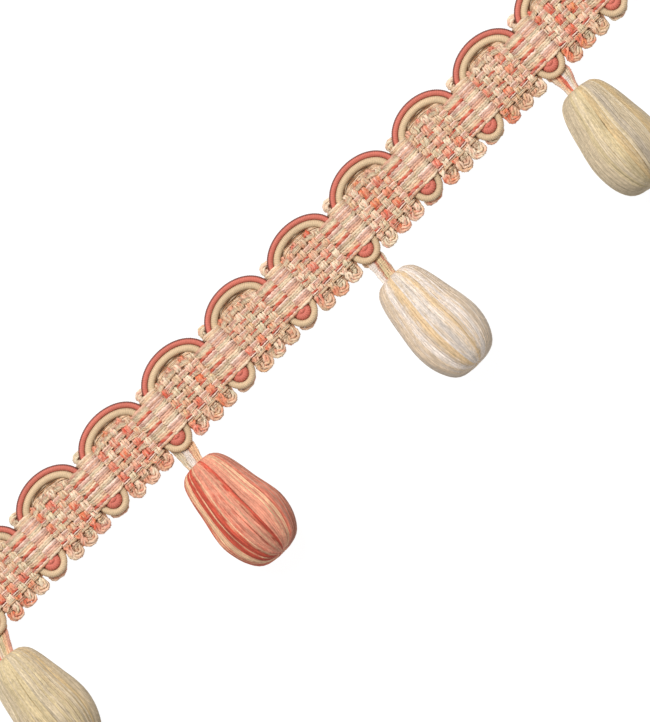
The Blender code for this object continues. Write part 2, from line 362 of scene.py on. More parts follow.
# Materials: every colour starts from the yarn's own dye.
finishes = {
    # roughness, sheen, how far fibres vary the colour, fibres to the metre, their length as so many
    # widths, relief, painted shade in the ply creases, painted shade at the rim, how far patches mix the two
    # colours
    "weftYarn": (0.88, 0.30, 0.24, 1800, 1, 0.00008, 0.10, 0.93, 0.0),
    "warpYarn": (0.84, 0.30, 0.18, 1800, 1, 0.00006, 0.06, 0.93, 0.0),
    "floss": (0.76, 0.40, 0.22, 3200, 6, 0.00006, 0.0, 0.88, 2.4),
    "gimp": (0.62, 0.25, 0.14, 2600, 1, 0.00004, 0.0, 0.85, 0.0),
}


# Dyed fibres: two plies of colour, uneven along the fibres, with painted shade in the creases between plies and
# at the rim, and for the gimp in its grooves and along one side.
def yarnMaterial(name, finish, grooveShade=0.0, edgeShade=0.0):
    roughness, sheen, vary, fibreScale, stretch, relief, creaseShade, rimShade, patches = finishes[finish]
    material = bpy.data.materials.new(name)
    material.use_nodes = True
    tree = material.node_tree
    shader = tree.nodes["Principled BSDF"]
    shader.inputs["Roughness"].default_value = roughness
    shader.inputs["Sheen Weight"].default_value = sheen
    shader.inputs["Sheen Roughness"].default_value = 0.5
    shader.inputs["Specular IOR Level"].default_value = 0.25
    first = addNode(tree, "ShaderNodeAttribute", attribute_name="yarnColour")
    second = addNode(tree, "ShaderNodeAttribute", attribute_name="plyColour")
    ply = addNode(tree, "ShaderNodeAttribute", attribute_name="ply")
    spot = addNode(tree, "ShaderNodeTexCoord")
    lengthwise = addNode(tree, "ShaderNodeMapping")
    lengthwise.inputs["Scale"].default_value = (1, 1 / stretch, 1)
    tree.links.new(spot.outputs["Object"], lengthwise.inputs["Vector"])
    side = addNode(tree, "ShaderNodeMapRange", inputs={"From Min": -0.5, "From Max": 0.5})
    if patches:
        patch = addNode(tree, "ShaderNodeTexNoise", inputs={"Scale": 1100, "Detail": 2, "Roughness": 0.55})
        tree.links.new(lengthwise.outputs[0], patch.inputs["Vector"])
        centred = math2(tree, "SUBTRACT", patch.outputs["Fac"], 0.40)
        tree.links.new(math2(tree, "MULTIPLY", centred, patches), side.inputs["Value"])
    else:
        tree.links.new(ply.outputs["Fac"], side.inputs["Value"])
    colour = addNode(tree, "ShaderNodeMix", data_type="RGBA")
    tree.links.new(side.outputs["Result"], colour.inputs["Factor"])
    tree.links.new(second.outputs["Color"], colour.inputs["A"])
    tree.links.new(first.outputs["Color"], colour.inputs["B"])
    fibres = addNode(tree, "ShaderNodeTexNoise",
                     inputs={"Scale": fibreScale, "Detail": 3, "Roughness": 0.6})
    tree.links.new(lengthwise.outputs[0], fibres.inputs["Vector"])
    lighter = addNode(tree, "ShaderNodeMapRange",
                      inputs={"From Min": 0.3, "From Max": 0.7, "To Min": 1 - vary, "To Max": 1 + vary})
    tree.links.new(fibres.outputs["Fac"], lighter.inputs["Value"])
    shade = lighter.outputs["Result"]
    height = fibres.outputs["Fac"]
    # Painted shade: darker where the surface faces sideways rather than up, at each yarn's rim.
    facing = addNode(tree, "ShaderNodeSeparateXYZ")
    tree.links.new(spot.outputs["Normal"], facing.inputs[0])
    lit = addNode(tree, "ShaderNodeMapRange", interpolation_type="SMOOTHSTEP",
                  inputs={"From Min": 0.1, "From Max": 0.8, "To Min": rimShade, "To Max": 1})
    tree.links.new(facing.outputs["Z"], lit.inputs["Value"])
    shade = math2(tree, "MULTIPLY", shade, lit.outputs["Result"])
    # Painted shade in the creases between the plies.
    if creaseShade:
        crest = addNode(tree, "ShaderNodeAttribute", attribute_name="crest")
        creaseDarkening = math2(tree, "MULTIPLY", math2(tree, "SUBTRACT", 1, crest.outputs["Fac"]), 0.5 * creaseShade)
        shade = math2(tree, "MULTIPLY", shade, math2(tree, "SUBTRACT", 1, creaseDarkening))
    # Painted shade for the gimp: darker in the grooves between the wrapping turns, and darker along one side of
    # the cord.
    if grooveShade:
        groove = addNode(tree, "ShaderNodeAttribute", attribute_name="groove")
        darker = math2(tree, "SUBTRACT", 1, math2(tree, "MULTIPLY", groove.outputs["Fac"], grooveShade))
        shade = math2(tree, "MULTIPLY", shade, darker)
        edge = addNode(tree, "ShaderNodeMapRange", interpolation_type="SMOOTHSTEP",
                       inputs={"From Min": 0.3, "From Max": 0.8, "To Min": 1, "To Max": 1 - abs(edgeShade)})
        tree.links.new(math2(tree, "MULTIPLY", ply.outputs["Fac"], math.copysign(1, edgeShade)),
                       edge.inputs["Value"])
        shade = math2(tree, "MULTIPLY", shade, edge.outputs["Result"])
    tinted = addNode(tree, "ShaderNodeVectorMath", operation="SCALE")
    tree.links.new(colour.outputs["Result"], tinted.inputs[0])
    tree.links.new(shade, tinted.inputs["Scale"])
    tree.links.new(tinted.outputs[0], shader.inputs["Base Color"])
    tree.links.new(tinted.outputs[0], shader.inputs["Sheen Tint"])
    bump = addNode(tree, "ShaderNodeBump", inputs={"Strength": 0.6, "Distance": relief})
    tree.links.new(height, bump.inputs["Height"])
    tree.links.new(bump.outputs["Normal"], shader.inputs["Normal"])
    return material


yarns = yarnTree()
gimp = gimpTree()

# The camera looks straight down, turned so that the trim runs up to the right as in the picture.
picture = {
    "width": 650,
    "height": 722,
    "pixel": 0.2271,
    "turn": -45.0,
    "distance": 2000.0,
    "focusHeight": 2.0,
    "middleHeight": -7.49,
    "middleAlong": 115.6,
}


def makeCamera():
    data = bpy.data.cameras.new("Camera")
    camera = bpy.data.objects.new("Camera", data)
    bpy.context.scene.collection.objects.link(camera)
    data.sensor_width = 36
    data.lens = data.sensor_width * picture["distance"] / (picture["height"] * picture["pixel"])
    middle = place((picture["middleAlong"], picture["middleHeight"], picture["focusHeight"]))
    camera.location = middle + np.array((0, 0, picture["distance"] * mm))
    camera.rotation_euler = (0, 0, math.radians(picture["turn"]))
    bpy.context.scene.camera = camera


makeCamera()
print("camera placed")


# The band's rows of warp, from the lower edge up. Set 1 lies over the left columns, set 2 over the right.
warp = {
    "middle": 1.2,
    "lift": 0.46,
    "halfWidth": 0.44,
    "pillow": 0.18,
    "radius": 0.21,
    "spreadRadius": 0.42,
    "steps": 4,
    "bow": 0.12,
    "coralLift": 0.12,
    "over": 2.56,
    "hidden": 0.15,
    # beside each eye: offset toward the yarn's other side, fan, share of the climb, thickness
    "crossing": (
        (-3.90, 0.85, 0.72, 0.7), (-2.95, 1.0, 1, 1.0), (-1.35, 1.0, 1, 1.0), (-0.50, 1.0, 0.96, 1.0),
        (0.15, 0.95, 0.70, 0.8), (0.80, 0.75, 0.15, 0.2), (1.50, 0.5, 0.0, 0.2), (3.00, 0.15, 0.0, 0.0),
    ),
}
warpRows = (
    # set, height at picks, rise in the scallop, top over its column, foot over its column, sunk, dyes
    (1, 4.90, 0.0, 5.65, 4.95, 0.0, ("deepCoral", "blush", "ecru")),
    (2, 6.40, 0.0, 7.15, 4.95, 0.0, ("blush", "mauve", "rose", "peach", "cream")),
    (1, 8.15, 0.0, 9.15, 6.25, 0.0, ("deepCoral", "blush", "moss", "sage", "cream", "ecru")),
    (2, 9.75, 0.0, 10.72, 7.75, 0.0, ("blush", "mauve", "rose", "peach", "cream", "sage")),
    (1, 11.50, 0.0, 12.42, 9.75, 0.0, ("deepCoral", "blush", "mauve", "sage", "ecru", "cream")),
    (2, 13.00, 0.2, 13.72, 11.25, 0.0, ("blush", "rose", "mauve", "peach", "sage", "cream")),
    (1, 13.50, 1.7, 14.35, 13.00, 0.0, ("rose", "moss", "sage", "cream", "ecru")),
    (2, 14.40, 1.8, 15.45, 14.15, 0.1, ("cream", "ecru", "cream", "mauve")),
    # This row's dark brown yarns paint the shade in the gap under the ecru cord.
    (2, 15.10, 2.35, 14.20, 13.60, 0.16, ("gapShade", "moss", "gapShade")),
)


# From 0 beside the columns to 1 in the scallop's middle.
def panelBow(x, left, right):
    share = np.clip(np.abs(x - (left + right) / 2) / ((right - left) / 2 - 3.6), 0, 1)
    return math.sqrt(1 - share * share)


# The picks and column ends of one repeat, left to right: (x, kind, number).
def stationsOf(i):
    left, right = eyes[i], eyes[i + 1]
    width = (right - left - trim["leftColumn"] - trim["rightColumn"]) / trim["picks"]
    found = [(left + 1.35, "rightColumn", 0), (left + 2.95, "rightColumn", 0)]
    for k in range(trim["picks"]):
        found.append((left + trim["rightColumn"] + (k + 0.5) * width, "pick", k))
    return found + [(right - 2.95, "leftColumn", 0), (right - 1.35, "leftColumn", 0)]


# Whether this set's warps lie on top at a pick or column.
def isOver(warpSet, kind, number):
    if kind == "pick":
        return (number % 2 == 0) == (warpSet == 1)
    return (kind == "leftColumn") == (warpSet == 1)


# One warp yarn's keys: along, height, z and radius. It fans out over its own columns.
def warpKeys(row, place01, across):
    warpSet, middle, rise, top, foot, sunk = row[:6]
    fan = top + (foot - top) * place01
    sign = 1 if warpSet == 1 else -1
    over, under = warp["over"], trim["cordZ"] - 0.98
    keys = []
    for i in range(len(trim["repeats"])):
        left, right = eyes[i], eyes[i + 1]
        for x, kind, number in stationsOf(i):
            if kind != "pick":
                continue
            lifted = middle + rise * panelBow(x, left, right)
            up = 1 if isOver(warpSet, kind, number) else -1
            bow = warp["bow"] * (1 - across * across)
            height = lifted + across * warp["halfWidth"] * (1 + warp["pillow"] * up)
            near = (number == 5 and warpSet == 1) or (number == 0 and warpSet == 2)
            if near:
                height += 0.55 * (fan - height)
            keys.append((x, height, warp["middle"] + up * (warp["lift"] + bow) - sunk, warp["radius"]))
        if i + 1 == len(trim["repeats"]):
            break
        plain = middle + across * warp["halfWidth"]
        for offset, share, z, thick in warp["crossing"][::sign]:
            if sunk > warp["hidden"]:
                z, thick = 0, 0.2
            height = plain + share * (fan - plain)
            size = warp["radius"] + thick * (warp["spreadRadius"] - warp["radius"])
            keys.append((right + sign * offset, height, over if z == 1 else under + z * (over - under), size))
    level = middle + across * warp["halfWidth"]
    start, end = (level, fan) if warpSet == 1 else (fan, level)
    keys.insert(0, (2.2, start, under if warpSet == 1 else over, warp["radius"]))
    keys.insert(0, (0.0, start, trim["cordZ"], warp["radius"]))
    keys.append((eyes[-1] - 2.2, end if warpSet == 2 else fan, over if warpSet == 1 else under,
                 warp["radius"]))
    keys.append((eyes[-1], keys[-1][1], trim["cordZ"], warp["radius"]))
    return np.array(keys)


def makeWarps():
    sets = {1: Strands(), 2: Strands()}
    for row in warpRows:
        names = row[6]
        for k, name in enumerate(names):
            place01 = k / (len(names) - 1)
            keys = warpKeys(row, place01, 1 - 2 * place01)
            if name == "deepCoral":
                keys[:, 2] += warp["coralLift"]
                keys[:, 3] += 0.04
            keys[1:-1, 1] += dice.normal(0, 0.05, len(keys) - 2)
            line = smoothLine(keys, warp["steps"])
            line[:, 0] = np.clip(line[:, 0], 0, eyes[-1])
            along = lengthAlong(line[:, :3])
            tone = 1 + wander(along, 2.5, 0.07)
            colours = dye(name) * tone[:, None]
            seconds = 0.75 * colours + 0.25 * dye(dice.choice(names))
            sets[row[0]].add(line[:, :3], colours, line[:, 3], seconds)
    material = yarnMaterial("warp_yarn", "warpYarn")
    settings = {"Sides": 6, "Plies": 2.0, "Ply depth": 0.12, "Turns per millimetre": 0.45}
    return [
        makePiece(sets[n], f"warp_set_{n}", yarns, settings, material) for n in (1, 2)
    ]


# The weft is one loose rope of space-dyed yarns that goes up and down through the warps.
weft = {
    "yarns": 5,
    "radius": 0.335,
    "across": 0.60,
    "twistPitch": 8.0,
    "twistDeep": 0.20,
    "deep": 0.13,
    "pillow": 0.20,
    "ropePitch": 9.0,
    "lift": 0.40,
    "columnZ": 0.50,
    "loopRadius": 1.12,
    "fan": 0.11,
    "fuller": 1.25,
    "keep": 0.45,
    "stepsKey": 3,
    "oddDyes": ("salmon", "peach", "orange", "ecru", "coral", "orange", "pale"),
    "evenDyes": ("pale", "lichen", "ecru", "pale", "lichen", "peach"),
    "dyes": ("pale", "ecru", "peach", "coral", "orange", "lichen", "gold", "pale", "salmon"),
    "weights": (0.24, 0.15, 0.14, 0.08, 0.08, 0.10, 0.06, 0.05, 0.10),
    "shortest": 2.0,
    "longest": 7.0,
    "shared": 0.62,
}


def rowHeight(row, x, i):
    return row[1] + row[2] * panelBow(x, eyes[i], eyes[i + 1])


def panelTop(x, i):
    crown = trim["crowns"][i]
    return trim["footHeight"] + (crown - 3.4 - trim["footHeight"]) * panelBow(x, eyes[i], eyes[i + 1])


# A pick's place along the trim at some height: toward the foot the picots spread apart.
def fanned(x, i, height):
    middle = (eyes[i] + eyes[i + 1]) / 2
    return middle + (x - middle) * (1 + weft["fan"] * np.clip((5.6 - height) / 3.2, 0, 1))


# A pick's keys from the lower edge up, each with its colour.
def pickKeys(x, i, number):
    keys = [(fanned(x, i, 2.2), 2.2, warp["middle"]), (fanned(x, i, 3.1), 3.1, warp["middle"] + 0.1),
            (fanned(x, i, 4.0), 4.0, warp["middle"] + (-0.15 if number % 2 else 0.3))]
    top = panelTop(x, i)
    lean = dice.normal(0, 0.06)
    for row in warpRows:
        height = rowHeight(row, x, i)
        if height > top - 0.2:
            break
        over = not isOver(row[0], "pick", number)
        keys.append((fanned(x, i, height) + lean * height / 8, height + dice.normal(0, 0.05),
                     warp["middle"] + (1 if over else -1) * (weft["lift"] + dice.normal(0, 0.04))))
    names = weft["oddDyes"] if number % 2 == 0 else weft["evenDyes"]
    colours = [dye(dice.choice(names))]
    while len(colours) < len(keys):
        colours.append(colours[-1] if dice.random() < weft["keep"] else dye(dice.choice(names)))
    return np.hstack([keys, colours])


def plainKeys(keys, colour):
    return np.hstack([keys, np.tile(colour, (len(keys), 1))])


def columnKeys(x, top):
    return [(x, h, weft["columnZ"]) for h in np.linspace(2.6, top, 5)]


# A squarish turn from x0 to x1, its tip at that height.
def loopKeys(x0, x1, base, tip, z, radius, square=0.75):
    middle = (x0 + x1) / 2
    reach = radius * (1 if x1 > x0 else -1)
    return [
        (middle - reach * math.copysign(abs(math.cos(t)) ** square, math.cos(t)),
         base + (tip - base) * math.sin(t) ** square, z)
        for t in np.linspace(0, math.pi, 6)[1:-1]
    ]


# The keys of the whole weft's middle line, with its colours.
def weftCentre():
    keys = []
    for i in range(len(trim["repeats"])):
        left, right = eyes[i], eyes[i + 1]
        picks = [s[0] for s in stationsOf(i) if s[1] == "pick"]
        columns = [pickKeys(x, i, k) for k, x in enumerate(picks)]
        # Behind the right column, then the loop that shows between two scallops and passes under the cords.
        keys.append(plainKeys(columnKeys(left + 2.0, 14.4), dye("cream")))
        tall = dice.uniform(-0.3, 0.35)
        keys.append(plainKeys(
            [(left + 0.75, 15.5, 0.85), (left + 0.1, 16.4, 1.15), (left + 0.7, 17.2 + tall, 1.1),
             (left + 2.1, 17.2 + tall, 0.75), (left + 3.9, 16.3, 0.62)], dye(dice.choice(["pale", "lichen"]))))
        for k, x in enumerate(picks):
            column = columns[k] if k % 2 else columns[k][::-1]
            keys.append(column)
            if k + 1 == len(picks):
                break
            following = picks[k + 1]
            ahead = columns[k + 1][0 if (k + 1) % 2 else -1]
            mixed = 0.5 * (column[-1, 3:] + ahead[3:])
            if k % 2 == 0:
                tip = 1.05 + dice.normal(0, 0.10)
                turn = loopKeys(fanned(x, i, 2), fanned(following, i, 2), 1.9, tip, 1.0,
                                weft["loopRadius"] + dice.normal(0, 0.04))
            else:
                base = min(column[-1, 1], ahead[1]) + 0.45
                tip = panelTop((x + following) / 2, i) - 1.5
                turn = loopKeys(x, following, min(base, tip - 0.3), tip, 0.55, 0.95, 1)
                # Painted shade: near the top this loop's colour is mixed half with the dark brown, under the
                # cords.
                mixed = 0.5 * (mixed + dye("gapShade"))
            keys.append(plainKeys(turn, mixed))
        tail = [(picks[-1] + 0.5, 15.4, 0.7), (right - 3.4, 15.7, 0.6), (right - 2.4, 15.3, 0.55)]
        tail += columnKeys(right - 2.0, 14.4)[::-1]
        if i + 1 < len(trim["repeats"]):
            tail += loopKeys(right - 2.7, right + 1.5, 2.2, 0.95 + dice.normal(0, 0.1), 0.5, 2.1, 1)
        keys.append(plainKeys(tail, dye(dice.choice(["ecru", "peach", "cream"]))))
    return np.vstack(keys)


def makeWefts():
    keys = smoothLine(weftCentre(), weft["stepsKey"])
    centre, common = keys[:, :3], keys[:, 3:]
    along = lengthAlong(centre)
    ahead = np.gradient(centre, axis=0)
    side = np.stack([-ahead[:, 1], ahead[:, 0], np.zeros(len(ahead))], axis=1)
    side /= np.linalg.norm(side, axis=1)[:, None]
    ahead /= np.linalg.norm(ahead, axis=1)[:, None]
    up = np.cross(ahead, side)
    flat = np.clip((centre[:, 2] - 0.3) / 0.7, 0.35, 1)
    loose = np.interp(centre[:, 1], (2.4, 4.0, 14.8, 16.2), (1, 0, 0, 0.8))
    fuller = np.interp(centre[:, 1], (1.2, 2.4, 4.4), (weft["fuller"], 0.5 + 0.5 * weft["fuller"], 1))
    swell = fuller + weft["pillow"] * np.clip((centre[:, 2] - warp["middle"]) / weft["lift"], -1, 1)
    groups = [Strands(), Strands()]
    settings = weft["dyes"], weft["weights"], weft["shortest"], weft["longest"]
    for k in range(weft["yarns"]):
        spread = 2 * k / (weft["yarns"] - 1) - 1
        roll = 2 * math.pi * (k / weft["yarns"] + along / weft["twistPitch"])
        spread = spread + loose * (np.cos(roll) - spread)
        across = (weft["across"] * spread + wander(along, 2.2, 0.09)) * swell
        phase = 2 * math.pi * (k * 0.37 + along / weft["ropePitch"])
        deep = (weft["deep"] * np.sin(phase) - 0.10 * spread * spread) * flat
        deep += loose * (weft["twistDeep"] * np.sin(roll) - deep)
        points = centre + side * across[:, None] + up * (deep + wander(along, 1.8, 0.05))[:, None]
        points[:, 0] = np.clip(points[:, 0], 0, eyes[-1])
        plies = [weft["shared"] * common + (1 - weft["shared"]) * spaceDye(along, *settings)
                 for ply in range(2)]
        radii = weft["radius"] * (1 + 0.12 * loose + wander(along, 1.3, 0.09)) * (0.75 + 0.25 * flat)
        points[:, 2] = np.maximum(points[:, 2], 1.2 * radii)
        groups[k % 2].add(points, plies[0], radii, plies[1])
    material = yarnMaterial("weft_yarn", "weftYarn")
    settings = {"Sides": 6, "Plies": 2.0, "Ply depth": 0.15, "Turns per millimetre": 0.42}
    return [
        makePiece(group, f"weft_{n}", yarns, settings, material)
        for n, group in zip(("outer", "inner"), groups)
    ]


# Fine yarns bind the picots: over one pick and under the next.
binding = {
    # height, radius, dye, which picks it passes over: every other one in turn, or the odd ones
    "rows": ((2.75, 0.09, "moss", False), (3.20, 0.09, "moss", False), (3.85, 0.17, "ecru", True),
             (4.15, 0.17, "sage", True)),
    "over": 0.62,
    "under": -0.30,
}


def makeBinding():
    strands = Strands()
    for height, radius, name, oddOver in binding["rows"]:
        for i in range(len(trim["repeats"])):
            picks = [s[0] for s in stationsOf(i) if s[1] == "pick"]
            keys = [(eyes[i] + 3.9, height + 0.2, 0.6)]
            for k, x in enumerate(picks):
                over = k % 2 == 1 if oddOver else (k + i) % 2 == 1
                lift = binding["over"] if over else binding["under"]
                keys.append((fanned(x, i, height) - 0.4, height + dice.normal(0, 0.05), warp["middle"] + lift))
                keys.append((fanned(x, i, height) + 0.4, height + dice.normal(0, 0.05), warp["middle"] + lift))
            keys.append((eyes[i + 1] - 3.9, height + 0.2, 0.6))
            strands.add(smoothLine(keys, 3), dye(name), radius)
    material = yarnMaterial("binding_yarn", "warpYarn")
    settings = {"Sides": 5, "Plies": 2.0, "Ply depth": 0.0, "Turns per millimetre": 0.0}
    return makePiece(strands, "picot_binding", yarns, settings, material)


# A thin dark sheet inside the weave is painted shade: it keeps the gaps between the yarns dark, where light
# would otherwise pass to the floor.
shadeSheet = {"low": 0.48, "thick": 0.20, "tuck": 0.5, "foot": 1.5, "stepsRepeat": 40, "colour": (0.50, 0.26, 0.15)}


# Painted shade: the sheet's dark brown, mottled by noise.
def shadeSheetMaterial():
    material = bpy.data.materials.new("painted_shade_sheet")
    material.use_nodes = True
    tree = material.node_tree
    shader = tree.nodes["Principled BSDF"]
    shader.inputs["Roughness"].default_value = 0.95
    spots = addNode(tree, "ShaderNodeTexNoise", inputs={"Scale": 800, "Detail": 2})
    spot = addNode(tree, "ShaderNodeTexCoord")
    tree.links.new(spot.outputs["Object"], spots.inputs["Vector"])
    ramp = addNode(tree, "ShaderNodeValToRGB")
    ramp.color_ramp.elements[0].color = (*[0.7 * c for c in shadeSheet["colour"]], 1)
    ramp.color_ramp.elements[1].color = (*[1.5 * c for c in shadeSheet["colour"]], 1)
    tree.links.new(spots.outputs["Fac"], ramp.inputs["Fac"])
    tree.links.new(ramp.outputs["Color"], shader.inputs["Base Color"])
    return material


def makeShadeSheet():
    low, high = [], []
    for i in range(len(trim["repeats"])):
        for x in np.linspace(eyes[i], eyes[i + 1], shadeSheet["stepsRepeat"], endpoint=i == len(eyes) - 2):
            nearEye = min(x - eyes[i], eyes[i + 1] - x) < 3.95
            low.append((x, 3.3 if nearEye else shadeSheet["foot"], 0))
            level = 14.6 + 2.3 * np.clip((2.7 - x + eyes[i]) / 0.6, 0, 1)
            high.append((x, level if nearEye else panelTop(x, i) + shadeSheet["tuck"], 0))
    count = len(low)
    points = place(np.vstack([np.array(low), np.array(high)])
                   + (0, 0, shadeSheet["low"] + shadeSheet["thick"] / 2))
    faces = [(k, k + 1, count + k + 1, count + k) for k in range(count - 1)]
    mesh = bpy.data.meshes.new("heading_shade_sheet")
    mesh.from_pydata(points.tolist(), [], faces)
    piece = keepPiece("heading_shade_sheet", mesh, shadeSheetMaterial())
    wall = piece.modifiers.new("Cloth", "SOLIDIFY")
    wall.thickness = shadeSheet["thick"] * mm
    wall.offset = 0
    area = sum((high[k][1] - low[k][1]) * (low[k + 1][0] - low[k][0]) for k in range(count - 1)) * mm * mm
    return piece, area


# Two gimp cords side by side make the scallops and the eyes.
cords = {
    # The last value is painted shade along one side of each cord: for the coral cord, the outer side of each
    # crown and the inner side of each eye.
    "coral_cord": {"radius": 0.78, "columnRadius": 0.88, "eyeRadius": 1.12, "column": 1.32,
                   "eyeColumn": 1.26, "eye": 1.28, "below": 0.0, "dye": "gimpCoral", "edge": -0.72},
    "ecru_cord": {"radius": 0.90, "columnRadius": 0.86, "eyeRadius": 0.84, "column": 2.92,
                  "eyeColumn": 2.92, "eye": 3.02, "below": 1.42, "dye": "gimpEcru", "edge": -0.10},
}
gimpTurns = {"Sides": 8, "Turn pitch": 0.00040, "Groove depth": 0.09, "Slant": 0.22}


# The serpentine: round each eye, up its column and over the scallop.
def cordLine(cord):
    column, eye, radius = cord["column"], cord["eye"], cord["radius"]
    beside = cord["eyeColumn"]
    foot, level = trim["footHeight"], trim["eyeHeight"]
    points = []
    quarter = np.linspace(0, math.pi / 2, 9)
    for i, crown in enumerate(trim["crowns"]):
        left, right = eyes[i], eyes[i + 1]
        middle, half = (left + right) / 2, (right - left) / 2 - column
        rise = crown - radius - cord["below"] - foot
        points += [(left + beside * math.sin(t), level - eye * math.cos(t)) for t in quarter]
        points += [(middle - half * math.cos(t), foot + rise * math.sin(t))
                   for t in np.linspace(0, math.pi, 33)]
        points += [(right - beside * math.cos(t), level - eye * math.sin(t))
                   for t in quarter[: 9 if i + 1 == len(trim["crowns"]) else 8]]
    return np.array([(x, h, trim["cordZ"]) for x, h in points])


def makeCords():
    made = []
    for name, cord in cords.items():
        strands = Strands()
        line = cordLine(cord)
        along = lengthAlong(line)
        tone = 1 + wander(along, 6.0, 0.05)
        levels = (trim["eyeHeight"] - cord["eye"], trim["eyeHeight"], trim["footHeight"])
        radii = np.interp(line[:, 1], levels, (cord["eyeRadius"], cord["columnRadius"], cord["radius"]))
        strands.add(line, dye(cord["dye"]) * tone[:, None], radii)
        if name == "coral_cord":
            # A short coral strand closes each eye's hole. Its colour is 8% lighter than the cord's: painted
            # light against the shade in the hole.
            for eye in eyes[1:-1]:
                closing = smoothLine([(eye - 1.7, 4.75, 1.5), (eye, 4.3, 2.1), (eye + 1.7, 4.75, 1.5)], 4)
                strands.add(closing, 1.08 * dye(cord["dye"]), 0.68)
        material = yarnMaterial(name + "_gimp", "gimp", 0.25, cord["edge"])
        piece = makePiece(strands, name + "_wrapped", gimp, gimpTurns, material)
        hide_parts(name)
        made.append(piece)
    return made


# Each drop is wound lengthwise. Its bands of colour run from left to right across its face, as sines.
drops = {
    "length": 27.45,
    "threads": 116,
    "radius": 0.36,
    "inset": 0.08,
    "jitter": 0.12,
    "lumps": 0.018,
    "spiral": 0.009,
    "tilt": 8.0,
    "flatSpot": 0.2,
    "steps": 34,
}
dropProfile = (
    # from the top, radius
    (1.60, 2.25),
    (0.30, 2.45),
    (0.02, 3.00),
    (0.12, 3.65),
    (0.50, 4.35),
    (1.70, 5.45),
    (4.10, 6.35),
    (6.44, 6.92),
    (8.80, 7.38),
    (11.20, 7.82),
    (13.60, 8.30),
    (16.90, 8.70),
    (19.60, 8.54),
    (22.10, 7.94),
    (24.20, 7.00),
    (25.70, 5.95),
    (26.55, 4.80),
    (26.95, 3.60),
    (27.08, 2.40),
    (26.90, 1.30),
    (26.60, 0.60),
)
dropRows = (
    # eye, sideways, below, lean, slot, painted shade at the foot, unevenness, bands by their left side's sine
    (1, -3.1, 4.3, 3.5, "gold_floss", 0.18, 0.08, (
        (-1.0, "flossPearl"), (-0.84, "flossTaupe"), (-0.60, "flossStraw"), (-0.38, "flossTaupe"),
        (-0.30, "flossStraw"), (0.00, "flossPearl"), (0.08, "flossStraw"), (0.20, "flossTaupe"),
        (0.28, "flossGold"), (0.40, "flossStraw"), (0.50, "flossTaupe"), (0.60, "flossPearl"),
        (0.70, "flossGold"), (0.80, "flossTaupe"))),
    (4, -1.3, 4.0, 0.0, "coral_floss", 0.12, 0.14, (
        (-1.0, "flossCoral"), (-0.94, "flossLine"), (-0.80, "flossDeep"), (-0.70, "flossLine"),
        (-0.65, "flossDeep"), (-0.46, "flossLine"), (-0.42, "flossSalmon"), (-0.06, "flossLine"),
        (-0.03, "flossSalmon"), (0.06, "flossDeep"), (0.24, "flossLine"), (0.28, "flossSalmon"),
        (0.37, "flossLine"), (0.40, "flossSalmon"), (0.52, "flossLine"), (0.55, "flossSalmon"),
        (0.69, "flossLine"), (0.72, "flossCoral"), (0.83, "flossRose"), (0.93, "flossBrick"))),
    (7, -0.3, 5.1, 0.0, "cream_floss", 0.02, 0.07, (
        # The darkest bands at both sides are painted shade.
        (-1.0, "flossPaintedShade"), (-0.92, "flossBeige"), (-0.70, "flossMist"), (-0.49, "flossBeige"),
        (-0.42, "flossHoney"), (-0.20, "flossMist"), (-0.06, "flossWhite"), (0.18, "flossBeige"),
        (0.27, "flossHoney"), (0.46, "flossMist"), (0.70, "flossBeige"), (0.90, "flossPaintedShade"))),
    (10, -0.1, 4.7, 5.5, "gold_floss", 0.18, 0.08, (
        (-1.0, "flossPearl"), (-0.90, "flossTaupe"), (-0.62, "flossStraw"), (-0.48, "flossPearl"),
        (-0.32, "flossStraw"), (-0.02, "flossGold"), (0.10, "flossPearl"), (0.19, "flossTaupe"),
        (0.28, "flossSlate"), (0.42, "flossTaupe"), (0.58, "flossPearl"), (0.70, "flossGold"),
        (0.90, "flossTaupe"))),
)


# A drop's top middle, and its right, up and lengthwise directions.
def dropFrame(row):
    eye, sideways, below, lean = row[:4]
    tilt, turn = math.radians(drops["tilt"]), math.radians(lean)
    reach = max(r * math.cos(tilt) - t * math.sin(tilt) for t, r in dropProfile)
    ahead = np.array((-math.sin(turn) * math.cos(tilt), -math.cos(turn) * math.cos(tilt), math.sin(tilt)))
    right = np.array((math.cos(turn), -math.sin(turn), 0))
    up = np.cross(ahead, right) * -1
    lift = reach + drops["radius"] - drops["inset"] - drops["flatSpot"]
    return np.array((eyes[eye] + sideways, -below, lift)), right, up, ahead


# The outline at shares of its own length, smoothed.
def profileAt(share):
    outline = smoothLine(np.array(dropProfile), 8)
    along = lengthAlong(outline)
    return [np.interp(share * along[-1], along, outline[:, k]) for k in (0, 1)]


